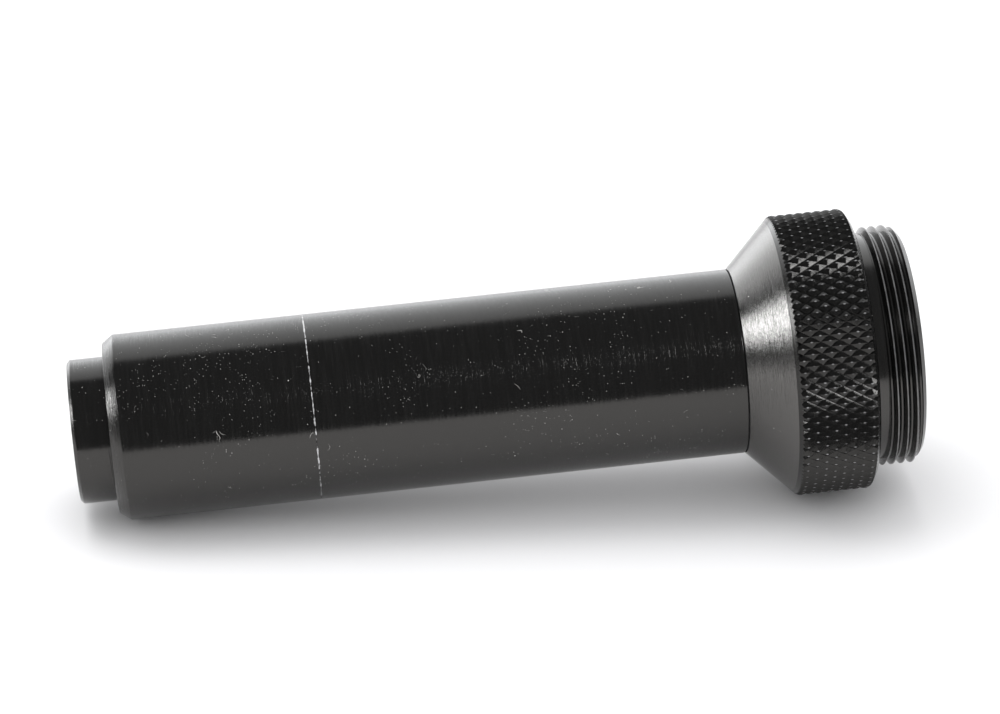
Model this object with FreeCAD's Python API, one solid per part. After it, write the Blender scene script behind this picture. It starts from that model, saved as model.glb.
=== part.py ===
import FreeCAD, Part
import math
import os

# Barlow lens for a 0.965 inch telescope drawtube, lying along its optical axis.
# +X points from the lens end (the nose) to the threaded eyepiece end, +Z is up.
# The origin is on the optical axis, at the plane where the barrel meets the knurled collar.
# Sizes are in millimetres. Places along the axis are x, and distances from it are radii.

# Barrel: two tubes of one outer diameter, screwed end to end, with a seam between them.
barrel_diameter = 24.5           # 0.965 inch eyepiece barrel
barrel_wall = 2.05               # leaves a 20.4 bore
main_tube_length = 56.35         # collar to seam
nose_tube_length = 26.5          # seam to nose face
nose_chamfer_length = 1.45       # along the axis
nose_chamfer_depth = 1.05        # towards the axis

# Threaded spigots: the nose tube's holds the main tube, the main tube's holds the collar.
joint_pitch = 0.75
joint_step = 0.95                # thread crest below the barrel's outside
joint_spigot_length = 4.8
joint_relief_spare = 0.05        # plain neck at the shoulder, past one pitch
joint_end_chamfer = 0.3
joint_socket_spare = 0.2         # depth left past the end of a spigot

# Lens cell: its head stands out of the nose, its threaded spigot is inside it.
nose_ledge = 2.75                # nose face left bare around the cell's head
cell_head_length = 4.85
cell_head_bevel = 0.4
cell_wall = 1.95                 # head outside to lens bore
cell_pitch = 0.5
cell_step = 0.5                  # thread crest below the head's outside
cell_spigot_length = 4.3
cell_relief_spare = 0.1          # plain neck at the head, past one pitch
cell_end_chamfer = 0.2
cell_lip_thickness = 1.0         # front lip that the lens sits against
cell_lip_width = 0.65            # how far the lip covers the lens
nose_wall_spare = 0.4            # thread bore left past the end of the cell

# Cemented negative doublet and the rings that hold it.
crown_front_curve = 48.0         # radius of curvature
inner_curve = 26.0
flint_rear_curve = 90.0
crown_thickness = 1.2            # at the centre
flint_thickness = 2.4            # at the centre
lens_edge_flat = 0.5             # flat rim that the lip and the spacer bear on
cement_thickness = 0.02
spacer_thickness = 0.5
retaining_ring_thickness = 1.6
retaining_ring_width = 0.8
spanner_slot_width = 1.2
spanner_slot_depth = 0.7

# Light stops: turned rings with a skirt along the bore and a thin lip across it.
stop_lip_width = 2.2
stop_lip_thickness = 0.6
stop_skirt_wall = 0.8
stop_length = 4.0
nose_stop_from_seam = 8.0        # seam to the lip, towards the nose
barrel_stop_from_seam = 30.0     # seam to the lip, towards the collar

# Knurled collar: cone, knurled grip, chamfer, thread neck and 1.25 inch thread.
collar_groove_width = 0.18       # fine line between barrel and cone
collar_groove_depth = 0.25
cone_length = 5.95
grip_width = 9.71
grip_height = 2.775              # above the rear thread's crest
grip_chamfer_length = 0.72
grip_chamfer_depth = 1.2
rear_thread_diameter = 31.75     # 1.25 inch
rear_pitch = 1.27                # 20 turns to the inch
rear_neck_spare = 0.35           # neck width past one pitch
rear_neck_below_root = 0.1
rear_thread_length = 4.86
rear_end_chamfer_length = 1.0
rear_end_chamfer_depth = 1.2
rear_mouth_wall = 2.396          # neck outside to mouth bore
mouth_chamfer = 0.4
field_ledge_width = 2.4          # ledge that the field stop sits on
field_ledge_thickness = 1.0

# Clearances.
thread_fit = 0.08                # crest of a spigot to the bore around it
ring_fit = 0.05                  # ring or lens to the bore around it, all round
seat_gap = 0.02                  # between faces that seat on each other

# Thread form: 60 degree flanks, depth and crest flat as shares of the pitch.
THREAD_DEPTH = 0.6134
THREAD_CREST_FLAT = 0.125
THREAD_OVERCUT = 0.05
FLANK_SLOPE = math.tan(math.radians(30))

# Radii and places that follow from the sizes above.
barrel_radius = barrel_diameter / 2
bore_radius = barrel_radius - barrel_wall
joint_crest_radius = barrel_radius - joint_step
joint_socket_radius = joint_crest_radius + thread_fit
joint_socket_depth = joint_spigot_length + joint_socket_spare
joint_relief_width = joint_pitch + joint_relief_spare

seam_x = -main_tube_length
nose_face_x = seam_x - nose_tube_length
cell_front_x = nose_face_x - cell_head_length

cell_head_radius = barrel_radius - nose_ledge
cell_crest_radius = cell_head_radius - cell_step
cell_bore_radius = cell_head_radius - cell_wall
cell_end_x = nose_face_x + cell_spigot_length
cell_relief_width = cell_pitch + cell_relief_spare
lens_radius = cell_bore_radius - ring_fit
lens_clear_radius = lens_radius - lens_edge_flat

rear_crest_radius = rear_thread_diameter / 2
rear_neck_radius = rear_crest_radius - THREAD_DEPTH * rear_pitch - rear_neck_below_root
grip_radius = rear_crest_radius + grip_height
mouth_radius = rear_neck_radius - rear_mouth_wall
field_ledge_radius = mouth_radius - field_ledge_width
field_ledge_x = joint_socket_depth + field_ledge_thickness
grip_start_x = collar_groove_width + cone_length
grip_end_x = grip_start_x + grip_width
shoulder_x = grip_end_x + grip_chamfer_length
rear_thread_x = shoulder_x + rear_pitch + rear_neck_spare
rear_end_x = rear_thread_x + rear_thread_length

ORIGIN = FreeCAD.Vector(0, 0, 0)
OPTICAL_AXIS = FreeCAD.Vector(1, 0, 0)


def in_section(x, radius):
    """The point of the axial half-section at a place along the axis and a radius."""
    return FreeCAD.Vector(x, 0, radius)


def turned(edges):
    """A solid turned about the optical axis from the edges of a closed half-section."""
    section = Part.Face(Part.Wire(Part.__sortEdges__(edges)))
    solid = section.revolve(ORIGIN, OPTICAL_AXIS, 360)
    if solid.Volume < 0:
        solid.reverse()
    return solid


def turned_outline(outline):
    """A solid turned from a closed outline of (x, radius) corners."""
    corners = [in_section(x, radius) for x, radius in outline]
    following = corners[1:] + corners[:1]
    return turned([Part.makeLine(a, b) for a, b in zip(corners, following)])


def half_turn_groove(crest_radius, pitch):
    """A thread groove over half a turn, starting at x = 0 and advancing towards +X."""
    depth = THREAD_DEPTH * pitch
    mouth_half = (1 - THREAD_CREST_FLAT) * pitch / 2
    root_half = mouth_half - depth * FLANK_SLOPE
    overcut = THREAD_OVERCUT * pitch
    over_half = mouth_half + overcut * FLANK_SLOPE
    root_radius = crest_radius - depth
    over_radius = crest_radius + overcut
    section = Part.makePolygon([
        FreeCAD.Vector(root_radius, 0, -root_half),
        FreeCAD.Vector(root_radius, 0, root_half),
        FreeCAD.Vector(over_radius, 0, over_half),
        FreeCAD.Vector(over_radius, 0, -over_half),
        FreeCAD.Vector(root_radius, 0, -root_half),
    ])
    helix = Part.makeHelix(pitch, pitch / 2, crest_radius)
    groove = Part.Wire(helix.Edges).makePipeShell([section], True, True)
    groove.rotate(ORIGIN, FreeCAD.Vector(0, 1, 0), 90)
    return groove


def with_thread(blank, crest_radius, pitch, start_x, end_x):
    """Cut a right-hand thread into a blank that has a neck of a pitch or more before start_x.

    The groove runs out by half a turn at each end, and is cut as half turns end to end.
    """
    half_turns = math.ceil(2 * (end_x - start_x) / pitch) + 2
    threaded = blank
    for i in range(half_turns):
        groove = half_turn_groove(crest_radius, pitch)
        groove.rotate(ORIGIN, OPTICAL_AXIS, 180 * i)
        groove.translate(FreeCAD.Vector(start_x + (i - 1) * pitch / 2, 0, 0))
        threaded = threaded.cut(groove)
    return threaded


def spigot_corners(shoulder, end, root_radius, crest_radius, relief_width, end_chamfer):
    """Outside corners of a threaded spigot, from its shoulder to its chamfered end."""
    return [
        (shoulder, root_radius),
        (shoulder + relief_width, root_radius),
        (shoulder + relief_width, crest_radius),
        (end - end_chamfer, crest_radius),
        (end, crest_radius - end_chamfer),
    ]


def joint_spigot(shoulder):
    """Outside corners of a barrel joint's spigot, standing out of a shoulder towards +X."""
    neck_radius = joint_crest_radius - THREAD_DEPTH * joint_pitch - seat_gap
    end = shoulder + joint_spigot_length
    return spigot_corners(
        shoulder, end, neck_radius, joint_crest_radius, joint_relief_width, joint_end_chamfer
    )


def with_joint_thread(blank, shoulder):
    """Cut the barrel joint's thread on the spigot that stands out of a shoulder."""
    start = shoulder + joint_relief_width
    end = shoulder + joint_spigot_length
    return with_thread(blank, joint_crest_radius, joint_pitch, start, end)


def main_tube():
    """The barrel's long tube: a socket for the nose tube at one end, a spigot at the other."""
    socket_end = seam_x + joint_socket_depth
    outline = [(seam_x, joint_socket_radius), (seam_x, barrel_radius), (0, barrel_radius)]
    outline += joint_spigot(0)
    outline += [
        (joint_spigot_length, bore_radius),
        (socket_end, bore_radius),
        (socket_end, joint_socket_radius),
    ]
    return with_joint_thread(turned_outline(outline), 0)


def nose_tube():
    """The barrel's short tube, with the chamfered nose that the lens cell screws into."""
    wall_end = cell_end_x + nose_wall_spare
    cell_socket_radius = cell_crest_radius + thread_fit
    outline = [
        (nose_face_x, cell_socket_radius),
        (nose_face_x, barrel_radius - nose_chamfer_depth),
        (nose_face_x + nose_chamfer_length, barrel_radius),
        (seam_x, barrel_radius),
    ]
    outline += joint_spigot(seam_x)
    outline += [
        (seam_x + joint_spigot_length, bore_radius),
        (wall_end, bore_radius),
        (wall_end, cell_socket_radius),
    ]
    return with_joint_thread(turned_outline(outline), seam_x)


def lens_cell():
    """The cell that holds the doublet: a plain head with a front lip, and a threaded spigot."""
    lip_radius = lens_radius - cell_lip_width
    neck_radius = cell_crest_radius - THREAD_DEPTH * cell_pitch - seat_gap
    outline = [
        (cell_front_x, lip_radius),
        (cell_front_x, cell_head_radius - cell_head_bevel),
        (cell_front_x + cell_head_bevel, cell_head_radius),
        (nose_face_x, cell_head_radius),
    ]
    outline += spigot_corners(
        nose_face_x, cell_end_x, neck_radius, cell_crest_radius, cell_relief_width, cell_end_chamfer
    )
    outline += [
        (cell_end_x, cell_bore_radius),
        (cell_front_x + cell_lip_thickness, cell_bore_radius),
        (cell_front_x + cell_lip_thickness, lip_radius),
    ]
    thread_start = nose_face_x + cell_relief_width
    return with_thread(
        turned_outline(outline), cell_crest_radius, cell_pitch, thread_start, cell_end_x
    )


def sag(curve, radius):
    """How far a surface of this radius of curvature has fallen back at a distance from the axis."""
    return curve - math.sqrt(curve * curve - radius * radius)


def lens_surface(vertex_x, curve, radius, bends_to):
    """The arc of a lens surface from the axis to a radius, bending towards -X or +X."""
    middle = radius / 2
    return Part.Arc(
        in_section(vertex_x, 0),
        in_section(vertex_x + bends_to * sag(curve, middle), middle),
        in_section(vertex_x + bends_to * sag(curve, radius), radius),
    ).toShape()


def lens_element(front_x, front, rear_x, rear):
    """A lens turned from its axis, two surfaces, their flat rims and its ground edge."""
    front_rim_x = front_x + front["bends_to"] * sag(front["curve"], front["radius"])
    rear_rim_x = rear_x + rear["bends_to"] * sag(rear["curve"], rear["radius"])
    edges = [
        Part.makeLine(in_section(front_x, 0), in_section(rear_x, 0)),
        lens_surface(front_x, **front),
        lens_surface(rear_x, **rear),
        Part.makeLine(in_section(front_rim_x, lens_radius), in_section(rear_rim_x, lens_radius)),
    ]
    for rim_x, surface in ((front_rim_x, front), (rear_rim_x, rear)):
        if surface["radius"] < lens_radius:
            edges.append(
                Part.makeLine(in_section(rim_x, surface["radius"]), in_section(rim_x, lens_radius))
            )
    return turned(edges)


# The doublet's places, from the front lip to the retaining ring.
crown_seat_x = cell_front_x + cell_lip_thickness + seat_gap
crown_front_x = crown_seat_x + sag(crown_front_curve, lens_clear_radius)
crown_rear_x = crown_front_x + crown_thickness
flint_front_x = crown_rear_x + cement_thickness
flint_rear_x = flint_front_x + flint_thickness
flint_rim_x = flint_rear_x + sag(flint_rear_curve, lens_clear_radius)
spacer_x = flint_rim_x + seat_gap
retaining_ring_x = spacer_x + spacer_thickness + seat_gap


def crown_lens():
    """The front element, hollow on both faces."""
    front = {"curve": crown_front_curve, "radius": lens_clear_radius, "bends_to": -1}
    rear = {"curve": inner_curve, "radius": lens_radius, "bends_to": 1}
    return lens_element(crown_front_x, front, crown_rear_x, rear)


def flint_lens():
    """The rear element, a meniscus cemented into the crown's hollow."""
    front = {"curve": inner_curve, "radius": lens_radius, "bends_to": 1}
    rear = {"curve": flint_rear_curve, "radius": lens_clear_radius, "bends_to": 1}
    return lens_element(flint_front_x, front, flint_rear_x, rear)


def plain_ring(start_x, thickness, inner_radius, outer_radius):
    """A ring of rectangular section."""
    return turned_outline([
        (start_x, inner_radius),
        (start_x, outer_radius),
        (start_x + thickness, outer_radius),
        (start_x + thickness, inner_radius),
    ])


def lens_spacer_ring():
    """The slip ring between the doublet's rim and the retaining ring."""
    return plain_ring(spacer_x, spacer_thickness, lens_clear_radius, lens_radius)


def lens_retaining_ring():
    """The ring that clamps the doublet, with two slots across its rear face for a spanner."""
    ring = plain_ring(
        retaining_ring_x, retaining_ring_thickness, lens_radius - retaining_ring_width, lens_radius
    )
    slot = Part.makeBox(
        spanner_slot_depth,
        2 * lens_radius,
        spanner_slot_width,
        FreeCAD.Vector(
            retaining_ring_x + retaining_ring_thickness - spanner_slot_depth,
            -lens_radius,
            -spanner_slot_width / 2,
        ),
    )
    return ring.cut(slot)


def light_stop(lip_x, around_radius):
    """A stop whose lip is at lip_x and whose skirt runs on from it towards +X."""
    outer = around_radius - ring_fit
    return turned_outline([
        (lip_x, around_radius - stop_lip_width),
        (lip_x, outer),
        (lip_x + stop_length, outer),
        (lip_x + stop_length, outer - stop_skirt_wall),
        (lip_x + stop_lip_thickness, outer - stop_skirt_wall),
        (lip_x + stop_lip_thickness, around_radius - stop_lip_width),
    ])


def nose_light_stop():
    """The stop inside the nose tube."""
    return light_stop(seam_x - nose_stop_from_seam, bore_radius)


def barrel_light_stop():
    """The stop inside the main tube."""
    return light_stop(seam_x + barrel_stop_from_seam, bore_radius)


def field_stop():
    """The stop inside the collar's mouth, seated on its ledge."""
    return light_stop(field_ledge_x + seat_gap, mouth_radius)


def knurled_collar():
    """The collar: cone, grip, neck and rear thread outside; socket, ledge and mouth inside."""
    groove_radius = barrel_radius - collar_groove_depth
    outline = [
        (0, joint_socket_radius),
        (0, groove_radius),
        (collar_groove_width, groove_radius),
        (collar_groove_width, barrel_radius),
        (grip_start_x, grip_radius),
        (grip_end_x, grip_radius),
        (shoulder_x, grip_radius - grip_chamfer_depth),
        (shoulder_x, rear_neck_radius),
        (rear_thread_x, rear_neck_radius),
        (rear_thread_x, rear_crest_radius),
        (rear_end_x - rear_end_chamfer_length, rear_crest_radius),
        (rear_end_x, rear_crest_radius - rear_end_chamfer_depth),
        (rear_end_x, mouth_radius + mouth_chamfer),
        (rear_end_x - mouth_chamfer, mouth_radius),
        (field_ledge_x, mouth_radius),
        (field_ledge_x, field_ledge_radius),
        (joint_socket_depth, field_ledge_radius),
        (joint_socket_depth, joint_socket_radius),
    ]
    blank = turned_outline(outline)
    return with_thread(blank, rear_crest_radius, rear_pitch, rear_thread_x, rear_end_x)


os.makedirs("parts", exist_ok=True)
main_tube().exportStep("parts/main_tube.step")
nose_tube().exportStep("parts/nose_tube.step")
knurled_collar().exportStep("parts/knurled_collar.step")
lens_cell().exportStep("parts/lens_cell.step")
crown_lens().exportStep("parts/crown_lens.step")
flint_lens().exportStep("parts/flint_lens.step")
lens_spacer_ring().exportStep("parts/lens_spacer_ring.step")
lens_retaining_ring().exportStep("parts/lens_retaining_ring.step")
nose_light_stop().exportStep("parts/nose_light_stop.step")
barrel_light_stop().exportStep("parts/barrel_light_stop.step")
field_stop().exportStep("parts/field_stop.step")
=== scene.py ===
import math
from types import SimpleNamespace

import bmesh
import bpy
from mathutils import Matrix, Vector


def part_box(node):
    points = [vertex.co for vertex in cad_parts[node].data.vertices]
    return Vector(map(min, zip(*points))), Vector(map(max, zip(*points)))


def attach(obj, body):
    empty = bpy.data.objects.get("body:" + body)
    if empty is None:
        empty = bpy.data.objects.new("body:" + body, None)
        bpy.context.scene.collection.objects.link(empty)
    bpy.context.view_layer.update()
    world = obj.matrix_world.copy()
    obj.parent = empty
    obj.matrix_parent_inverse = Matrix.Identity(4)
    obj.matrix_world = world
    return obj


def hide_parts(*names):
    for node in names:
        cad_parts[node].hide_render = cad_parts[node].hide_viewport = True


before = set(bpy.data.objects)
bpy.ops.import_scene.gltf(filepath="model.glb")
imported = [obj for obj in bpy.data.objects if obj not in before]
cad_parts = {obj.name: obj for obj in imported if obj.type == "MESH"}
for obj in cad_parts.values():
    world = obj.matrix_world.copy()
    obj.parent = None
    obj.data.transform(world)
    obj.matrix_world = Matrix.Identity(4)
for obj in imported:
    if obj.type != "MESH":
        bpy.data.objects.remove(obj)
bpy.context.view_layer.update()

bl_info = {
    "name": "Barlow lens",
    "version": (1, 0, 0),
    "blender": (4, 5, 0),
    "location": "View3D > Sidebar > Barlow lens",
    "description": "Turned, knurled and threaded pieces of a barlow lens, and its studio stage",
    "category": "Add Mesh",
}

# The optical axis is X, from the nose at -X to the thread at +X. Up is +Z.
# Settings are kept in metres. Pieces are modelled in millimetres and then brought to metres, so
# that the modelling tools' own thresholds don't swallow their finest edges.
MM = 0.001
MERGE = 0.01          # millimetres
SEAT = 0.05           # an operator's place is found within this, in millimetres
SIDES = 304           # four to each diamond of the knurling
CUT = 0.2             # gap that is bridged between a turned skin and a thread, in millimetres
TIP_BEVEL = 0.025     # broken edge on the knurling's facets, in millimetres
FLOOR_SIZE = 1.3      # metres
FLOOR_THICK = 0.002
FLOOR_ALONG, FLOOR_ACROSS = 0.5, 0.515     # the floor's middle, from the nose's rim
AIM = Vector((-0.0310, 0, 0.0042))         # what the camera and the softbox point at
SOFTBOX_PLACE = (-0.12, 0.12, 0.6)
SOFTBOX_SIZE = (0.5, 0.4)

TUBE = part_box("main_tube")
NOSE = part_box("nose_tube")
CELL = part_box("lens_cell")
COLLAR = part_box("knurled_collar")


def linear(hex_colour):
    """An sRGB hex colour as linear red, green and blue."""
    parts = [int(hex_colour[i:i + 2], 16) / 255 for i in (1, 3, 5)]
    return tuple(c / 12.92 if c <= 0.04045 else ((c + 0.055) / 1.055) ** 2.4 for c in parts)


def length(name, description, millimetres):
    """A size setting, given in millimetres and kept in metres."""
    return bpy.props.FloatProperty(
        name=name, description=description, default=millimetres * MM, unit="LENGTH", precision=5
    )


def colour(name, description, hex_colour):
    """A colour setting."""
    return bpy.props.FloatVectorProperty(
        name=name, description=description, default=linear(hex_colour), size=3, min=0, max=1,
        subtype="COLOR",
    )


class BarlowSizes(bpy.types.PropertyGroup):
    """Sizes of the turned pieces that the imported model's boxes don't give."""

    bore_radius: length("Bore radius", "Inside of both tubes", 10.2)
    socket_radius: length("Socket radius", "Bore that takes a threaded spigot", 11.38)
    socket_depth: length("Socket depth", "Depth of that bore", 5.0)
    neck_radius: length("Spigot neck radius", "Plain neck between shoulder and thread", 10.82)
    edge_round: length("Edge rounding", "Width of the broken edge on turned corners", 0.09)
    nose_chamfer_length: length("Nose chamfer length", "Along the axis", 1.45)
    nose_chamfer_depth: length("Nose chamfer depth", "Towards the axis", 1.05)
    nose_socket_radius: length("Nose socket radius", "Bore that takes the cell's spigot", 9.08)
    nose_wall: length("Nose wall", "Nose face to the end of that bore", 4.7)
    cell_bevel: length("Cell bevel", "Front edge of the cell's head", 0.4)
    cell_neck_radius: length("Cell neck radius", "Plain neck behind the cell's head", 8.673)
    cell_bore_radius: length("Cell bore radius", "Bore that the lenses sit in", 7.55)
    cell_lip_radius: length("Cell lip radius", "Opening in the cell's front lip", 6.85)
    cell_lip: length("Cell lip", "Thickness of that lip", 1.0)
    groove_width: length("Collar groove width", "Fine line between tube and cone", 0.18)
    groove_depth: length("Collar groove depth", "Depth of that line", 0.25)
    cone_length: length("Cone length", "Groove to knurled grip", 5.95)
    grip_width: length("Grip width", "Along the axis", 9.71)
    grip_chamfer_length: length("Grip chamfer length", "Along the axis", 0.72)
    grip_chamfer_depth: length("Grip chamfer depth", "Towards the axis", 1.2)
    thread_neck_radius: length("Thread neck radius", "Plain neck before the thread", 14.996)
    thread_radius: length("Thread radius", "Over the rear thread's crests", 15.875)
    mouth_radius: length("Mouth radius", "Bore behind the thread", 12.6)
    ledge: length("Ledge", "Thickness of the ledge inside the collar", 1.0)
    knurl_depth: length("Knurl depth", "Crest to groove", 0.4)
    knurl_row: length("Knurl row", "Diamond's length along the axis", 2.4475)
    knurl_flank: length("Knurl flank", "Width of a diamond's flank", 0.585)


class BarlowColours(bpy.types.PropertyGroup):
    """Colours of the finishes."""

    dye: colour("Black dye", "Anodic layer dyed black", "#060606")
    dye_worn: colour("Thin dye", "Where turning marks thin the dye", "#121212")
    # Also paints the tubes' seam, where it stands in for a highlight that is brighter on top.
    aluminium: colour("Bare aluminium", "Where an edge is worn through", "#dcdcde")
    dust: colour("Dust", "Dust and lint lying on the black", "#cdccc9")
    lining: colour("Matt lining", "Inside of the tubes", "#0b0b0b")
    coating: colour("Lens coating", "Tint of the coated glass", "#eef0ff")
    floor: colour("Floor", "Paper that the lens lies on", "#f4f4f5")
    floor_shade: colour("Floor mottle", "Its faint mottle", "#efeff1")


class BarlowStage(bpy.types.PropertyGroup):
    """Where the camera stands and how bright the lights are."""

    camera_distance: bpy.props.FloatProperty(
        name="Camera distance", description="From the middle of the lens", default=0.5673,
        unit="LENGTH",
    )
    camera_height: bpy.props.FloatProperty(
        name="Camera height", description="Angle above the floor", default=math.radians(23.74),
        subtype="ANGLE",
    )
    camera_turn: bpy.props.FloatProperty(
        name="Camera turn", description="Angle round the lens, towards the nose",
        default=math.radians(5.7), subtype="ANGLE",
    )
    focal_length: bpy.props.FloatProperty(
        name="Focal length", description="In millimetres on a 36 mm sensor", default=154.9,
        unit="CAMERA",
    )
    softbox_power: bpy.props.FloatProperty(
        name="Softbox power", description="Light above the lens", default=1.4, unit="POWER"
    )
    room_level: bpy.props.FloatProperty(
        name="Room level", description="How brightly the room lights the floor", default=1.18,
        subtype="FACTOR",
    )


# Modelling, as at a lathe: a ring about the axis is drawn out into a skin, corner by corner.


def in_mm(group):
    """A group's lengths in millimetres, by name."""
    return SimpleNamespace(**{name: getattr(group, name) / MM for name in group.__annotations__})


def work_on(*pieces):
    """Select only these pieces; the first is the active one."""
    if bpy.context.object and bpy.context.object.mode != "OBJECT":
        bpy.ops.object.mode_set(mode="OBJECT")
    bpy.ops.object.select_all(action="DESELECT")
    for piece in pieces:
        piece.select_set(True)
    if pieces:
        bpy.context.view_layer.objects.active = pieces[0]


def edit(piece):
    """Edit a piece, with nothing selected."""
    work_on(piece)
    bpy.ops.object.mode_set(mode="EDIT")
    bpy.ops.mesh.select_mode(type="VERT")
    bpy.ops.mesh.select_all(action="DESELECT")


def place_of(vertex):
    """A vertex's place along the axis and its radius."""
    return vertex.co.x, math.hypot(vertex.co.y, vertex.co.z)


def select_edges(piece, wanted):
    """Select the edges of the edited piece for which wanted(edge) is true."""
    bpy.ops.mesh.select_mode(type="EDGE")
    bpy.ops.mesh.select_all(action="DESELECT")
    mesh = bmesh.from_edit_mesh(piece.data)
    for edge in mesh.edges:
        if wanted(edge):
            edge.select_set(True)
    bmesh.update_edit_mesh(piece.data)


def turned_skin(name, path):
    """A ring at the first (x, radius) of path, extruded to each of the others in turn."""
    work_on()
    x, radius = path[0]
    bpy.ops.mesh.primitive_circle_add(
        vertices=SIDES, radius=radius, location=(x, 0, 0), rotation=(0, math.pi / 2, 0)
    )
    skin = bpy.context.object
    skin.name = skin.data.name = name
    bpy.ops.object.transform_apply(location=True, rotation=True, scale=True)
    bpy.ops.object.mode_set(mode="EDIT")
    bpy.ops.mesh.select_all(action="SELECT")
    for next_x, next_radius in path[1:]:
        bpy.ops.mesh.extrude_region_move(TRANSFORM_OT_translate={"value": (next_x - x, 0, 0)})
        ratio = next_radius / radius
        bpy.ops.transform.resize(value=(1, ratio, ratio), center_override=(next_x, 0, 0))
        x, radius = next_x, next_radius
    bpy.ops.object.mode_set(mode="OBJECT")
    return skin


def break_edges(skin, places, width, segments=2):
    """Round the corners that run round the axis at these (x, radius) places."""
    def on_corner(edge):
        (x, radius), (other_x, other_radius) = (place_of(v) for v in edge.verts)
        if abs(x - other_x) > MERGE or abs(radius - other_radius) > MERGE:
            return False
        return any(abs(x - px) < MERGE and abs(radius - pr) < MERGE for px, pr in places)

    edit(skin)
    select_edges(skin, on_corner)
    bpy.ops.mesh.bevel(offset=width, segments=segments, affect="EDGES")
    bpy.ops.object.mode_set(mode="OBJECT")


def bridge(skin, first_x, last_x, low_radius, high_radius):
    """Bridge the two open rings that lie between two places and between two radii."""
    def open_here(edge):
        x, radius = place_of(edge.verts[0])
        return edge.is_boundary and first_x < x < last_x and low_radius < radius < high_radius

    edit(skin)
    select_edges(skin, open_here)
    bpy.ops.mesh.bridge_edge_loops()
    bpy.ops.object.mode_set(mode="OBJECT")


def copy_of(node, name):
    """A CAD node's mesh as a new piece, in millimetres and with its doubles merged."""
    work_on()
    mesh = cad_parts[node].data.copy()
    mesh.materials.clear()
    piece = bpy.data.objects.new(name, mesh)
    bpy.context.scene.collection.objects.link(piece)
    edit(piece)
    bpy.ops.mesh.select_all(action="SELECT")
    bpy.ops.transform.resize(value=(1 / MM, 1 / MM, 1 / MM), center_override=(0, 0, 0))
    bpy.ops.mesh.remove_doubles(threshold=MERGE / 10)
    bpy.ops.mesh.customdata_custom_splitnormals_clear()
    bpy.ops.object.mode_set(mode="OBJECT")
    return piece


def thread_beyond(node, x):
    """The threaded end of a CAD node, from a place along the axis to its +X end."""
    end = copy_of(node, node + "_thread")
    edit(end)
    bpy.ops.mesh.select_all(action="SELECT")
    bpy.ops.mesh.bisect(plane_co=(x, 0, 0), plane_no=(1, 0, 0), clear_inner=True)
    bpy.ops.object.mode_set(mode="OBJECT")
    return end


def joined(pieces):
    """Join pieces into the first of them."""
    work_on(*pieces)
    bpy.ops.object.join()
    return bpy.context.object


def finish_piece(piece, body, slot, nodes, finishes, finish_of=None, angle=28):
    """Bring a piece to metres, point its faces outwards, smooth it and put it on its body.

    A piece that isn't closed is an error. Normals are weighted by area, so that a broken edge
    shades round and the faces beside it shade flat.
    finish_of(x, radius) gives the number of the finish that a face there has.
    """
    edit(piece)
    bpy.ops.mesh.select_all(action="SELECT")
    bpy.ops.mesh.remove_doubles(threshold=MERGE / 10)
    bpy.ops.mesh.normals_make_consistent(inside=False)
    if any(edge.is_boundary for edge in bmesh.from_edit_mesh(piece.data).edges):
        raise RuntimeError(f"{piece.name} isn't closed")
    bpy.ops.object.mode_set(mode="OBJECT")
    for finish in finishes:
        piece.data.materials.append(finish)
    if finish_of:
        for face in piece.data.polygons:
            x, y, z = face.center
            face.material_index = finish_of(x, math.hypot(y, z))
    piece.scale = (MM, MM, MM)
    bpy.ops.object.transform_apply(location=True, rotation=True, scale=True)
    bpy.ops.object.shade_smooth_by_angle(angle=math.radians(angle))
    bpy.ops.object.modifier_add(type="WEIGHTED_NORMAL")
    piece.modifiers[-1].keep_sharp = True
    bpy.ops.object.modifier_apply(modifier=piece.modifiers[-1].name)
    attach(piece, body)
    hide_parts(*nodes)


def dressed_node(node, material):
    """Give a CAD node that is shown as it is a finish."""
    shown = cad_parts[node]
    if not shown.material_slots:
        work_on(shown)
        bpy.ops.object.material_slot_add()
    for slot in shown.material_slots:
        slot.material = material


# Finishes.


def add(tree, kind, inputs=None, **settings):
    """Add a node with its settings. Its inputs are values, or nodes and sockets to link from."""
    node = tree.nodes.new("ShaderNode" + kind)
    for name, value in settings.items():
        setattr(node, name, value)
    for name, value in (inputs or {}).items():
        if isinstance(value, bpy.types.Node):
            value = value.outputs[0]
        if isinstance(value, bpy.types.NodeSocket):
            tree.links.new(value, node.inputs[name])
        else:
            node.inputs[name].default_value = value
    return node


def new_material(name):
    """A material with no nodes yet."""
    material = bpy.data.materials.new(name)
    material.use_nodes = True
    material.node_tree.nodes.clear()
    return material, material.node_tree


def place_in_mm(tree):
    """The place on the piece in millimetres, and its x, its z and its distance from the axis."""
    place = add(tree, "TexCoord").outputs["Object"]
    place = add(tree, "VectorMath", {0: place, "Scale": 1 / MM}, operation="SCALE")
    parts = add(tree, "SeparateXYZ", {0: place})
    flat = add(tree, "VectorMath", {0: place, 1: (0, 1, 1)}, operation="MULTIPLY")
    radius = add(tree, "VectorMath", {0: flat}, operation="LENGTH").outputs["Value"]
    return place, parts.outputs[0], parts.outputs[2], radius


def turning_marks(tree, per_mm, round_scale, detail, seed=0.0):
    """Noise drawn out into rings about the axis, on cylinders, cones and flat faces alike."""
    place, x, _, radius = place_in_mm(tree)
    feed = add(tree, "Math", {0: radius, 1: 1.3, 2: x}, operation="MULTIPLY_ADD")
    parts = add(tree, "SeparateXYZ", {0: place})
    rings = add(tree, "CombineXYZ", {"X": feed, "Y": parts.outputs[1], "Z": parts.outputs[2]})
    spread = add(tree, "Mapping", {
        "Vector": rings, "Location": (seed, seed, seed),
        "Scale": (per_mm, round_scale, round_scale),
    })
    return add(tree, "TexNoise", {
        "Vector": spread, "Scale": 1.0, "Detail": detail, "Roughness": 0.6,
    })


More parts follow.
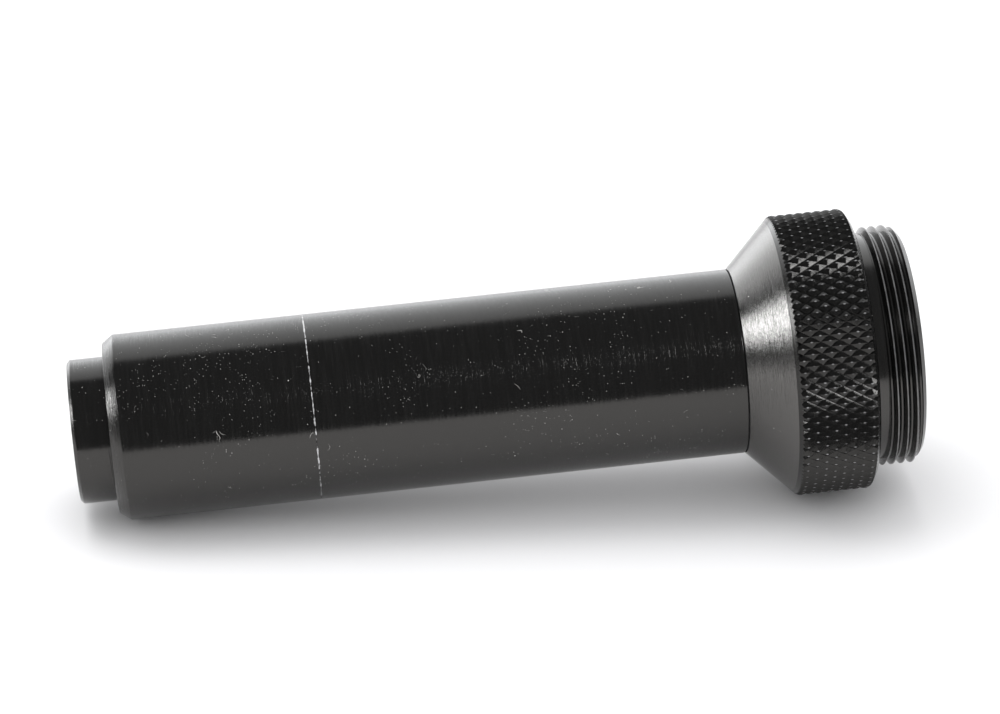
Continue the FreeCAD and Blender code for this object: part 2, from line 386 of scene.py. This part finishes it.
def dust_and_lint(tree, amount):
    """Share of dust: specks a tenth of a millimetre across, mostly in drifts, and a few hairs."""
    place, _, _, _ = place_in_mm(tree)
    drifts = add(tree, "TexNoise", {"Vector": place, "W": 4.0, "Scale": 0.11, "Detail": 2.0},
                 noise_dimensions="4D")
    drifts = add(tree, "MapRange", {0: drifts, 1: 0.5, 2: 0.62, 3: 0.16 * amount, 4: amount},
                 interpolation_type="SMOOTHSTEP")
    dust = 0.0
    for per_mm, low, size in ((1.2, 0.96, 0.13), (2.6, 0.85, 0.2), (4.2, 0.6, 0.26)):
        grains = add(tree, "TexVoronoi", {"Vector": place, "Scale": per_mm})
        lot = add(tree, "SeparateColor", {0: grains.outputs["Color"]})
        reach = add(tree, "MapRange", {0: lot, 1: low, 2: 1.0, 3: 0.0, 4: size})
        inner = add(tree, "Math", {0: reach, 1: 0.5}, operation="MULTIPLY")
        speck = add(tree, "MapRange", {
            0: grains.outputs["Distance"], 1: inner, 2: reach, 3: 1.0, 4: 0.0,
        }, interpolation_type="SMOOTHSTEP")
        chosen = add(tree, "Math", {0: lot.outputs[1], 1: drifts}, operation="LESS_THAN")
        cover = add(tree, "MapRange", {0: lot.outputs[2], 3: 0.35, 4: 1.0})
        speck = add(tree, "Math", {0: speck, 1: chosen}, operation="MULTIPLY")
        speck = add(tree, "Math", {0: speck, 1: cover}, operation="MULTIPLY")
        dust = add(tree, "Math", {0: dust, 1: speck}, operation="MAXIMUM")
    curls = add(tree, "TexNoise", {"Vector": place, "W": 9.0, "Scale": 0.5, "Detail": 1.0},
                noise_dimensions="4D")
    away = add(tree, "Math", {0: curls, 1: 0.52}, operation="SUBTRACT")
    away = add(tree, "Math", {0: away}, operation="ABSOLUTE")
    hair = add(tree, "Math", {0: away, 1: 0.004}, operation="LESS_THAN")
    few = add(tree, "TexNoise", {"Vector": place, "W": 21.0, "Scale": 0.6, "Detail": 0.0},
              noise_dimensions="4D")
    few = add(tree, "MapRange", {0: few, 1: 0.76, 2: 0.84, 3: 0.0, 4: 0.8 * amount})
    hair = add(tree, "Math", {0: hair, 1: few}, operation="MULTIPLY")
    return add(tree, "Math", {0: dust, 1: hair}, operation="MAXIMUM")


def black_anodising(name, colours, marks, gloss, bumps, ior, wear_and_highlight=None, dusty=1.0, metal=0.5):
    """Turned aluminium, anodised and dyed black: a hard clear oxide over dye, on tool marks.

    The oxide shines like a dark glaze; metal shows only at worn places and at the seam's painted
    highlight.
    marks is how many tool marks there are to a millimetre, gloss the roughness between them, bumps
    their height in metres, and metal how far the worn places are bright metal, not scratches.
    """
    material, tree = new_material(name)
    streaks = add(tree, "Mix", {
        "Factor": 0.35, 2: turning_marks(tree, marks, 0.16, 4.0),
        3: turning_marks(tree, marks * 3.1, 0.4, 3.0, 7.0),
    })
    tone = add(tree, "MapRange", {0: streaks, 1: 0.46, 2: 0.72})
    paint = add(tree, "Mix", {
        "Factor": tone, 6: (*colours.dye, 1), 7: (*colours.dye_worn, 1),
    }, data_type="RGBA").outputs[2]
    roughness = add(tree, "MapRange", {0: streaks, 1: 0.35, 2: 0.65, 3: gloss[0], 4: gloss[1]})
    shine = 0.0
    # Worn metal, and on the tubes the seam's painted highlight, is mixed into the paint.
    if wear_and_highlight:
        bare_metal_and_highlight = wear_and_highlight(tree)
        paint = add(tree, "Mix", {
            "Factor": bare_metal_and_highlight, 6: paint, 7: (*colours.aluminium, 1),
        }, data_type="RGBA").outputs[2]
        shine = add(tree, "Math", {0: bare_metal_and_highlight, 1: metal}, operation="MULTIPLY")
    if dusty:
        dust = dust_and_lint(tree, dusty)
        paint = add(tree, "Mix", {
            "Factor": dust, 6: paint, 7: (*colours.dust, 1),
        }, data_type="RGBA").outputs[2]
        roughness = add(tree, "MapRange", {0: dust, 3: roughness, 4: 0.9})
    bump = add(tree, "Bump", {"Height": streaks, "Strength": 1.0, "Distance": bumps})
    shader = add(tree, "BsdfPrincipled", {
        "Base Color": paint, "Roughness": roughness, "Metallic": shine, "IOR": ior,
        "Specular Tint": (1.0, 0.97, 0.93, 1), "Normal": bump,
    })
    add(tree, "OutputMaterial", {"Surface": shader})
    return material


def seam_wear_and_painted_highlight(seam_x, outside):
    """Worn metal at the seam's sharp rims, broken by nicks, and brighter on top as a painted
    highlight.
    """
    def wear_and_highlight(tree):
        place, x, z, distance = place_in_mm(tree)
        away = add(tree, "Math", {0: x, 1: seam_x}, operation="SUBTRACT")
        near = add(tree, "Math", {0: away}, operation="ABSOLUTE")
        ragged = add(tree, "TexNoise", {
            "Vector": place, "Scale": 1.1, "Detail": 4.0, "Roughness": 0.75,
        })
        reach = add(tree, "MapRange", {0: ragged, 1: 0.4, 2: 0.66, 3: 0.0, 4: 0.115})
        rim = add(tree, "Math", {0: near, 1: reach}, operation="LESS_THAN")
        outer = add(tree, "Math", {0: distance, 1: outside - 0.15}, operation="GREATER_THAN")
        rim = add(tree, "Math", {0: rim, 1: outer}, operation="MULTIPLY")
        # Painted highlight: the seam's metal fades out towards the bottom, where less light falls.
        height = add(tree, "MapRange", {0: z, 1: -11.5, 2: -3.0, 3: 0.15, 4: 1.0})
        return add(tree, "Math", {0: rim, 1: height}, operation="MULTIPLY")
    return wear_and_highlight


def worn_crest(radius, depth, strength):
    """Wear on everything that stands out to a radius, in patches."""
    def wear_and_highlight(tree):
        place, _, _, distance = place_in_mm(tree)
        crest = add(tree, "MapRange", {0: distance, 1: radius - depth, 2: radius})
        patches = add(tree, "TexNoise", {"Vector": place, "Scale": 0.9, "Detail": 3.0})
        patches = add(tree, "MapRange", {0: patches, 1: 0.35, 2: 0.7, 3: 0.1, 4: strength})
        return add(tree, "Math", {0: crest, 1: patches}, operation="MULTIPLY")
    return wear_and_highlight


def matt_lining(colours):
    """The tubes' inside: the same black, left matt by fine grooves that trap stray light."""
    material, tree = new_material("matt_black_grooved_lining")
    place, x, _, _ = place_in_mm(tree)
    waves = add(tree, "Math", {0: x, 1: math.tau / 0.5}, operation="MULTIPLY")
    waves = add(tree, "Math", {0: waves}, operation="SINE")
    grain = add(tree, "TexNoise", {"Vector": place, "Scale": 3.0, "Detail": 3.0})
    bump = add(tree, "Bump", {"Height": waves, "Strength": 0.8, "Distance": 0.00006})
    paint = add(tree, "Mix", {
        "Factor": grain, 6: (*colours.lining, 1), 7: (*colours.dye_worn, 1),
    }, data_type="RGBA").outputs[2]
    roughness = add(tree, "MapRange", {0: grain, 1: 0.3, 2: 0.7, 3: 0.6, 4: 0.8})
    shader = add(tree, "BsdfPrincipled", {
        "Base Color": paint, "Roughness": roughness, "IOR": 1.5, "Normal": bump,
    })
    add(tree, "OutputMaterial", {"Surface": shader})
    return material


def coated_glass(name, colours, ior, film):
    """Polished optical glass with one anti-reflection layer, which tints what it reflects."""
    material, tree = new_material(name)
    place, _, _, _ = place_in_mm(tree)
    haze = add(tree, "TexNoise", {"Vector": place, "Scale": 0.4, "Detail": 3.0})
    shader = add(tree, "BsdfPrincipled", {
        "Base Color": (*colours.coating, 1), "IOR": ior, "Transmission Weight": 1.0,
        "Roughness": add(tree, "MapRange", {0: haze, 1: 0.45, 2: 0.75, 3: 0.0, 4: 0.03}),
        "Thin Film Thickness": film, "Thin Film IOR": 1.38,
    })
    add(tree, "OutputMaterial", {"Surface": shader})
    return material


def floor_paper(colours):
    """Matt white paper, barely mottled."""
    material, tree = new_material("white_floor_paper")
    place, _, _, _ = place_in_mm(tree)
    mottle = add(tree, "TexNoise", {"Vector": place, "Scale": 0.02, "Detail": 4.0})
    paint = add(tree, "Mix", {
        "Factor": mottle, 6: (*colours.floor, 1), 7: (*colours.floor_shade, 1),
    }, data_type="RGBA").outputs[2]
    shader = add(tree, "BsdfPrincipled", {"Base Color": paint, "Roughness": 0.85, "IOR": 1.4})
    add(tree, "OutputMaterial", {"Surface": shader})
    return material


class Finishes:
    """The finishes that several pieces share, each made once."""

    made = {}

    @classmethod
    def get(cls, name, make):
        """The finish of that name, made the first time it is asked for."""
        if name not in cls.made:
            cls.made[name] = make()
        return cls.made[name]


def tube_black(context):
    """The long tubes and the cell: semi-gloss, fine turning streaks, and a seam of worn metal
    painted brighter on top as a highlight.
    """
    colours = context.scene.barlow_colours
    return Finishes.get("tube", lambda: black_anodising(
        "black_anodised_turned_aluminium", colours, marks=3.2, gloss=(0.1, 0.18),
        bumps=0.00007, ior=1.62, wear_and_highlight=seam_wear_and_painted_highlight(TUBE[0][0] / MM, TUBE[1][2] / MM), metal=0.15,
    ))


def cone_black(context):
    """The cone and the grip's chamfer: glossier, and brushed by the tool, so light draws out."""
    colours = context.scene.barlow_colours
    return Finishes.get("cone", lambda: black_anodising(
        "black_anodised_satin_aluminium", colours, marks=4.5, gloss=(0.08, 0.16),
        bumps=0.000048, ior=2.1, dusty=0.15,
    ))


def knurl_black(context):
    """The knurled grip: rolled diamonds, polished and worn to metal at their tips."""
    colours = context.scene.barlow_colours
    return Finishes.get("knurl", lambda: black_anodising(
        "black_anodised_knurled_aluminium", colours, marks=4.0, gloss=(0.12, 0.24),
        bumps=0.00003, ior=1.5, wear_and_highlight=worn_crest(COLLAR[1][2] / MM, 0.05, 0.7), dusty=0.0,
        metal=0.8,
    ))


def thread_black(context):
    """The rear thread, its neck and the retaining ring, with crests slightly rubbed."""
    colours = context.scene.barlow_colours
    return Finishes.get("thread", lambda: black_anodising(
        "black_anodised_threaded_aluminium", colours, marks=3.0, gloss=(0.14, 0.24),
        bumps=0.0000015, ior=1.7, dusty=0.0,
        wear_and_highlight=worn_crest(context.scene.barlow_sizes.thread_radius / MM, 0.05, 0.2),
    ))


def lining_black(context):
    """The matt inside."""
    colours = context.scene.barlow_colours
    return Finishes.get("lining", lambda: matt_lining(colours))


# Pieces.


class BARLOW_OT_main_tube(bpy.types.Operator):
    """Turn the long tube, with its socket at the seam and its threaded spigot."""

    bl_idname = "barlow.main_tube"
    bl_label = "Main tube"

    def execute(self, context):
        s = in_mm(context.scene.barlow_sizes)
        seam, outside = TUBE[0][0] / MM, TUBE[1][2] / MM
        shoulder = COLLAR[0][0] / MM
        cut = shoulder + 2 * CUT
        skin = turned_skin("main_tube_turned", [
            (cut, s.neck_radius), (shoulder, s.neck_radius), (shoulder, outside), (seam, outside),
            (seam, s.socket_radius), (seam + s.socket_depth, s.socket_radius),
            (seam + s.socket_depth, s.bore_radius), (cut, s.bore_radius),
        ])
        break_edges(skin, [(shoulder, outside), (seam, outside)], s.edge_round)
        skin = joined([skin, thread_beyond("main_tube", cut + CUT)])
        middle = (s.neck_radius + s.bore_radius) / 2
        bridge(skin, cut - SEAT, cut + CUT + SEAT, middle, outside)
        bridge(skin, cut - SEAT, cut + CUT + SEAT, 0, middle)
        finish_piece(
            skin, "barrel", "barrel_black", ["main_tube"],
            [tube_black(context), lining_black(context)],
            lambda x, radius: int(radius < s.bore_radius + SEAT),
        )
        return {"FINISHED"}


class BARLOW_OT_nose_tube(bpy.types.Operator):
    """Turn the short tube, with its chamfered nose and its threaded spigot."""

    bl_idname = "barlow.nose_tube"
    bl_label = "Nose tube"

    def execute(self, context):
        s = in_mm(context.scene.barlow_sizes)
        face, outside, seam = NOSE[0][0] / MM, NOSE[1][2] / MM, TUBE[0][0] / MM
        cut = seam + 2 * CUT
        rim = (face + s.nose_chamfer_length, outside)
        front = (face, outside - s.nose_chamfer_depth)
        skin = turned_skin("nose_tube_turned", [
            (cut, s.neck_radius), (seam, s.neck_radius), (seam, outside), rim, front,
            (face, s.nose_socket_radius), (face + s.nose_wall, s.nose_socket_radius),
            (face + s.nose_wall, s.bore_radius), (cut, s.bore_radius),
        ])
        break_edges(skin, [(seam, outside), rim, front], s.edge_round)
        skin = joined([skin, thread_beyond("nose_tube", cut + CUT)])
        middle = (s.neck_radius + s.bore_radius) / 2
        bridge(skin, cut - SEAT, cut + CUT + SEAT, middle, outside)
        bridge(skin, cut - SEAT, cut + CUT + SEAT, 0, middle)
        finish_piece(
            skin, "nose", "barrel_black", ["nose_tube"],
            [tube_black(context), lining_black(context)],
            lambda x, radius: int(radius < s.bore_radius + SEAT and x > face + SEAT),
        )
        return {"FINISHED"}


class BARLOW_OT_lens_cell(bpy.types.Operator):
    """Turn the lens cell: its plain head, its front lip and its threaded spigot."""

    bl_idname = "barlow.lens_cell"
    bl_label = "Lens cell"

    def execute(self, context):
        s = in_mm(context.scene.barlow_sizes)
        front, outside, face = CELL[0][0] / MM, CELL[1][2] / MM, NOSE[0][0] / MM
        cut = face + CUT
        skin = turned_skin("lens_cell_turned", [
            (cut, s.cell_neck_radius), (face, s.cell_neck_radius), (face, outside),
            (front + s.cell_bevel, outside), (front, outside - s.cell_bevel),
            (front, s.cell_lip_radius), (front + s.cell_lip, s.cell_lip_radius),
            (front + s.cell_lip, s.cell_bore_radius), (cut, s.cell_bore_radius),
        ])
        break_edges(
            skin, [(front + s.cell_bevel, outside), (front, s.cell_lip_radius)], s.edge_round
        )
        skin = joined([skin, thread_beyond("lens_cell", cut + CUT)])
        middle = (s.cell_neck_radius + s.cell_bore_radius) / 2
        bridge(skin, cut - SEAT, cut + CUT + SEAT, middle, outside)
        bridge(skin, cut - SEAT, cut + CUT + SEAT, 0, middle)
        finish_piece(
            skin, "cell", "cell_black", ["lens_cell"],
            [tube_black(context), lining_black(context)],
            lambda x, radius: int(radius < s.cell_bore_radius + SEAT and x > front + SEAT),
        )
        return {"FINISHED"}


def knurl_band(s, name, grip_radius, first_x, last_x):
    """The grip's diamonds: one is raised, rowed, cut to the grip's width and copied round it."""
    count = SIDES // 4
    sector = math.tau / count
    floor_radius = grip_radius - s.knurl_depth
    half_width = floor_radius * math.sin(sector / 2)
    rows = math.ceil((last_x - first_x) / s.knurl_row) + 2
    start = first_x - 1.25 * s.knurl_row
    work_on()
    bpy.ops.mesh.primitive_circle_add(
        vertices=4, radius=1, fill_type="NGON", location=(start, 0, floor_radius)
    )
    band = bpy.context.object
    band.name = band.data.name = name
    bpy.ops.object.transform_apply(location=True, rotation=True, scale=True)
    edit(band)
    bpy.ops.mesh.select_all(action="SELECT")
    bpy.ops.transform.resize(
        value=(s.knurl_row / 2, half_width, 1), center_override=(start, 0, floor_radius)
    )
    # The side corners drop onto the groove's circle, where the next column's corners lie.
    mesh = bmesh.from_edit_mesh(band.data)
    for vertex in mesh.verts:
        vertex.select_set(abs(vertex.co.y) > half_width / 2)
    bmesh.update_edit_mesh(band.data)
    drop = floor_radius * (1 - math.cos(sector / 2))
    bpy.ops.transform.translate(value=(0, 0, -drop))
    bpy.ops.mesh.select_all(action="SELECT")
    bpy.ops.mesh.normals_make_consistent(inside=False)
    if next(iter(bmesh.from_edit_mesh(band.data).faces)).normal.z < 0:
        bpy.ops.mesh.flip_normals()
    bpy.ops.mesh.inset(thickness=s.knurl_flank, depth=s.knurl_depth)
    bpy.ops.mesh.select_mode(type="EDGE")
    bpy.ops.mesh.bevel(offset=TIP_BEVEL, segments=1, affect="EDGES")
    bpy.ops.mesh.select_all(action="SELECT")
    bpy.ops.mesh.duplicate()
    bpy.ops.transform.translate(value=(s.knurl_row / 2, 0, 0))
    bpy.ops.transform.rotate(value=sector / 2, orient_axis="X", center_override=(0, 0, 0))
    bpy.ops.object.mode_set(mode="OBJECT")
    bpy.ops.object.modifier_add(type="ARRAY")
    row = band.modifiers[-1]
    row.count = rows
    row.use_relative_offset = False
    row.use_constant_offset = True
    row.constant_offset_displace = (s.knurl_row, 0, 0)
    bpy.ops.object.modifier_apply(modifier=row.name)
    edit(band)
    bpy.ops.mesh.select_all(action="SELECT")
    bpy.ops.mesh.bisect(plane_co=(first_x, 0, 0), plane_no=(1, 0, 0), clear_inner=True)
    bpy.ops.mesh.select_all(action="SELECT")
    bpy.ops.mesh.bisect(plane_co=(last_x, 0, 0), plane_no=(1, 0, 0), clear_outer=True)
    bpy.ops.mesh.select_all(action="SELECT")
    bpy.ops.mesh.remove_doubles(threshold=MERGE)
    bpy.ops.mesh.select_all(action="SELECT")
    bpy.ops.mesh.spin(
        steps=count - 1, dupli=True, angle=math.tau - sector, center=(0, 0, 0), axis=(1, 0, 0)
    )
    bpy.ops.mesh.select_all(action="SELECT")
    bpy.ops.mesh.remove_doubles(threshold=MERGE)
    bpy.ops.object.mode_set(mode="OBJECT")
    return band


class BARLOW_OT_knurled_collar(bpy.types.Operator):
    """Turn the collar: its cone, knurled grip, chamfer, neck, rear thread, mouth and socket."""

    bl_idname = "barlow.knurled_collar"
    bl_label = "Knurled collar"

    def execute(self, context):
        s = in_mm(context.scene.barlow_sizes)
        start, grip_radius = COLLAR[0][0] / MM, COLLAR[1][2] / MM
        outside = TUBE[1][2] / MM
        cone_x = start + s.groove_width
        grip_x = cone_x + s.cone_length
        grip_end = grip_x + s.grip_width
        shoulder = grip_end + s.grip_chamfer_length
        groove_floor = grip_radius - s.knurl_depth
        cone_rise = (groove_floor - outside) / s.cone_length
        rim_x = grip_x + s.knurl_depth / cone_rise
        chamfer_run = s.grip_chamfer_length / s.grip_chamfer_depth
        first_x = rim_x - 0.75 * s.knurl_depth / cone_rise
        last_x = grip_end + 0.75 * s.knurl_depth * chamfer_run
        band = knurl_band(s, "knurled_collar_turned", grip_radius, first_x, last_x)

        # The band's ends are turned to the cone and to the chamfer, which leaves them toothed.
        edit(band)
        mesh = bmesh.from_edit_mesh(band.data)
        for vertex in mesh.verts:
            x, radius = place_of(vertex)
            if abs(x - first_x) < MERGE:
                vertex.co.x = rim_x - (grip_radius - radius) / cone_rise
            elif abs(x - last_x) < MERGE:
                vertex.co.x = grip_end + (grip_radius - radius) * chamfer_run
        bmesh.update_edit_mesh(band.data)
        bpy.ops.object.mode_set(mode="OBJECT")

        below = groove_floor - 2 * CUT
        cone_top = (rim_x - (grip_radius - below) / cone_rise, below)
        chamfer_top = (grip_end + (grip_radius - below) * chamfer_run, below)
        cut = shoulder + 3 * CUT
        chamfer_foot = (shoulder, grip_radius - s.grip_chamfer_depth)
        rear = turned_skin("rear_skin", [
            chamfer_top, chamfer_foot, (shoulder, s.thread_neck_radius),
            (cut, s.thread_neck_radius),
        ])
        break_edges(rear, [chamfer_foot], s.edge_round)
        ledge_x = start + s.socket_depth
        inner = turned_skin("inner_skin", [
            (cut, s.mouth_radius), (ledge_x + s.ledge, s.mouth_radius),
            (ledge_x + s.ledge, s.bore_radius), (ledge_x, s.bore_radius),
            (ledge_x, s.socket_radius), (start, s.socket_radius),
            (start, outside - s.groove_depth), (cone_x, outside - s.groove_depth),
            (cone_x, outside), cone_top,
        ])
        break_edges(inner, [(cone_x, outside)], s.edge_round / 2)
        collar = joined([band, rear, inner, thread_beyond("knurled_collar", cut + CUT)])
        bridge(collar, cone_top[0] - SEAT, rim_x + SEAT, below - SEAT, grip_radius)
        bridge(collar, grip_end - SEAT, chamfer_top[0] + SEAT, below - SEAT, grip_radius)
        middle = (s.mouth_radius + s.thread_neck_radius) / 2
        bridge(collar, cut - SEAT, cut + CUT + SEAT, middle, grip_radius)
        bridge(collar, cut - SEAT, cut + CUT + SEAT, 0, middle)

        def finish_of(x, radius):
            if radius < s.mouth_radius + SEAT and x > start + SEAT and radius < outside - SEAT:
                return 3
            if x > shoulder + SEAT or (x > shoulder - SEAT and radius < chamfer_foot[1] - SEAT):
                return 2
            if radius > groove_floor - CUT and cone_top[0] < x < chamfer_top[0]:
                return 1
            return 0

        finish_piece(
            collar, "collar", "collar_black", ["knurled_collar"],
            [finish(context) for finish in (cone_black, knurl_black, thread_black, lining_black)],
            finish_of,
        )
        return {"FINISHED"}


class BARLOW_OT_insides(bpy.types.Operator):
    """Copy the lenses as merged, polished pieces, and give the rings and stops their finishes."""

    bl_idname = "barlow.insides"
    bl_label = "Lenses, rings and stops"

    def execute(self, context):
        colours = context.scene.barlow_colours
        crown = coated_glass("coated_crown_glass", colours, 1.517, 110)
        flint = coated_glass("coated_flint_glass", colours, 1.62, 125)
        for node, slot, glass in (
            ("crown_lens", "crown_glass", crown), ("flint_lens", "flint_glass", flint),
        ):
            lens = copy_of(node, node + "_polished")
            finish_piece(lens, "doublet", slot, [node], [glass])
        for node in ("lens_spacer_ring", "nose_light_stop", "barrel_light_stop", "field_stop"):
            dressed_node(node, lining_black(context))
        dressed_node("lens_retaining_ring", thread_black(context))
        return {"FINISHED"}


class BARLOW_OT_stage(bpy.types.Operator):
    """Lay the floor under the lens, and set the lights, the surroundings and the camera."""

    bl_idname = "barlow.stage"
    bl_label = "Stage"

    def execute(self, context):
        stage = context.scene.barlow_stage
        colours = context.scene.barlow_colours
        # The lens lies on the nose's rim and on the grip's front rim, which is bigger, so the
        # floor falls away from the axis towards the thread.
        s = in_mm(context.scene.barlow_sizes)
        rim_x = NOSE[0][0] + s.nose_chamfer_length * MM
        grip_x = COLLAR[0][0] + (s.groove_width + s.cone_length) * MM
        fall = math.atan2(COLLAR[1][2] - NOSE[1][2], grip_x - rim_x)
        up = Vector((math.sin(fall), 0, math.cos(fall)))
        along = Vector((math.cos(fall), 0, -math.sin(fall)))
        across = Vector((0, 1, 0))
        ground = Vector((rim_x, 0, -NOSE[1][2]))

        work_on()
        bpy.ops.mesh.primitive_plane_add(
            size=FLOOR_SIZE, rotation=(0, fall, 0),
            location=ground + FLOOR_ALONG * along + FLOOR_ACROSS * across,
        )
        floor = context.object
        floor.name = "studio_floor"
        bpy.ops.object.mode_set(mode="EDIT")
        bpy.ops.mesh.select_all(action="SELECT")
        bpy.ops.mesh.extrude_region_move(TRANSFORM_OT_translate={"value": tuple(-FLOOR_THICK * up)})
        bpy.ops.mesh.select_all(action="SELECT")
        bpy.ops.mesh.normals_make_consistent(inside=False)
        bpy.ops.object.mode_set(mode="OBJECT")
        bpy.ops.object.transform_apply(location=True, rotation=True, scale=True)
        floor.data.materials.append(floor_paper(colours))

        high, turn = stage.camera_height, -stage.camera_turn
        back = math.cos(high) * (math.sin(turn) * along - math.cos(turn) * across)
        back += math.sin(high) * up
        right = up.cross(back).normalized()
        axes = Matrix((right, back.cross(right), back)).transposed().to_4x4()
        bpy.ops.object.camera_add()
        camera = context.object
        camera.name = "studio_camera"
        camera.matrix_world = Matrix.Translation(AIM + stage.camera_distance * back) @ axes
        camera.data.sensor_width = 36
        camera.data.lens = stage.focal_length
        camera.data.clip_start = 0.01
        context.scene.camera = camera

        bpy.ops.object.light_add(type="AREA", location=SOFTBOX_PLACE)
        softbox = context.object
        softbox.name = "overhead_softbox"
        softbox.data.shape = "RECTANGLE"
        softbox.data.size, softbox.data.size_y = SOFTBOX_SIZE
        softbox.data.energy = stage.softbox_power
        softbox.rotation_euler = (AIM - softbox.location).to_track_quat("-Z", "Y").to_euler()
        softbox.visible_camera = softbox.visible_glossy = False
        self.surroundings(context)
        context.scene.view_settings.view_transform = "Standard"
        return {"FINISHED"}

    def surroundings(self, context):
        """A room that lights the floor evenly, and whose lights and dark side show in the black."""
        world = bpy.data.worlds.new("studio_room")
        context.scene.world = world
        world.use_nodes = True
        tree = world.node_tree
        tree.nodes.clear()
        way = add(tree, "TexCoord").outputs["Generated"]
        parts = add(tree, "SeparateXYZ", {0: way})

        # Overhead and behind, but not to the left of the nose; dark on the camera's side.
        overhead = add(tree, "MapRange", {0: parts.outputs[1], 1: 0.34, 2: 0.47, 3: 0.0, 4: 0.9},
                       interpolation_type="SMOOTHSTEP")
        behind = add(tree, "MapRange", {0: parts.outputs[1], 1: 0.45, 2: 1.0, 3: 0.0, 4: 0.8})
        above = add(tree, "Math", {0: overhead, 1: behind})
        middle = add(tree, "MapRange", {0: parts.outputs[0], 1: -0.65, 2: -0.45})
        total = add(tree, "Math", {0: above, 1: middle}, operation="MULTIPLY")
        total = add(tree, "Math", {0: total, 1: 0.16})
        # Round lights: direction, the angles at which each ends and is full, and its strength.
        lights = (
            ((0.656, -0.509, 0.558), 9, 3, 14.0),       # lamp, high on the thread's side
            ((-0.957, 0.19, 0.21), 10, 8, 15.0),        # panel past the nose
            ((-0.541, 0.816, 0.204), 29, 24, 1.7),      # window at the back, towards the nose
            ((-0.87, -0.05, 0.49), 15, 10, 1.6),        # shaded part of that wall
            ((-0.92, -0.36, 0.15), 20, 13, 0.3),        # wall past the nose
            ((1.0, 0.1, 0.1), 60, 30, 0.4),             # wall past the thread
        )
        for direction, outer, inner, strength in lights:
            dot = add(tree, "VectorMath", {
                0: way, 1: Vector(direction).normalized(),
            }, operation="DOT_PRODUCT").outputs["Value"]
            light = add(tree, "MapRange", {
                0: dot, 1: math.cos(math.radians(outer)), 2: math.cos(math.radians(inner)),
                3: 0.0, 4: strength,
            }, interpolation_type="SMOOTHSTEP")
            total = add(tree, "Math", {0: total, 1: light})
        shown = add(tree, "Background", {"Color": (0.96, 0.98, 1.0, 1), "Strength": total})
        even = add(tree, "Background", {
            "Color": (1, 1, 1, 1), "Strength": context.scene.barlow_stage.room_level,
        })
        rays = add(tree, "LightPath").outputs["Is Glossy Ray"]
        both = add(tree, "MixShader", {0: rays, 1: even, 2: shown})
        add(tree, "OutputWorld", {"Surface": both})


OPERATORS = (
    BARLOW_OT_main_tube, BARLOW_OT_nose_tube, BARLOW_OT_lens_cell, BARLOW_OT_knurled_collar,
    BARLOW_OT_insides, BARLOW_OT_stage,
)


class BARLOW_PT_panel(bpy.types.Panel):
    """Buttons that build the barlow lens piece by piece."""

    bl_idname = "BARLOW_PT_panel"
    bl_label = "Barlow lens"
    bl_space_type = "VIEW_3D"
    bl_region_type = "UI"
    bl_category = "Barlow lens"

    def draw(self, context):
        for operator in OPERATORS:
            self.layout.operator(operator.bl_idname)
        for group in (context.scene.barlow_sizes, context.scene.barlow_colours,
                      context.scene.barlow_stage):
            column = self.layout.column()
            for name in group.__annotations__:
                column.prop(group, name)


CLASSES = (BarlowSizes, BarlowColours, BarlowStage, *OPERATORS, BARLOW_PT_panel)


def register():
    """Register the settings, the operators and the panel."""
    for cls in CLASSES:
        bpy.utils.register_class(cls)
    bpy.types.Scene.barlow_sizes = bpy.props.PointerProperty(type=BarlowSizes)
    bpy.types.Scene.barlow_colours = bpy.props.PointerProperty(type=BarlowColours)
    bpy.types.Scene.barlow_stage = bpy.props.PointerProperty(type=BarlowStage)


def unregister():
    """Take everything that register added away again."""
    del bpy.types.Scene.barlow_stage
    del bpy.types.Scene.barlow_colours
    del bpy.types.Scene.barlow_sizes
    for cls in reversed(CLASSES):
        bpy.utils.unregister_class(cls)


def main():
    """Build every piece and the stage."""
    register()
    bpy.ops.barlow.main_tube()
    bpy.ops.barlow.nose_tube()
    bpy.ops.barlow.lens_cell()
    bpy.ops.barlow.knurled_collar()
    bpy.ops.barlow.insides()
    bpy.ops.barlow.stage()


if __name__ == "__main__":
    main()
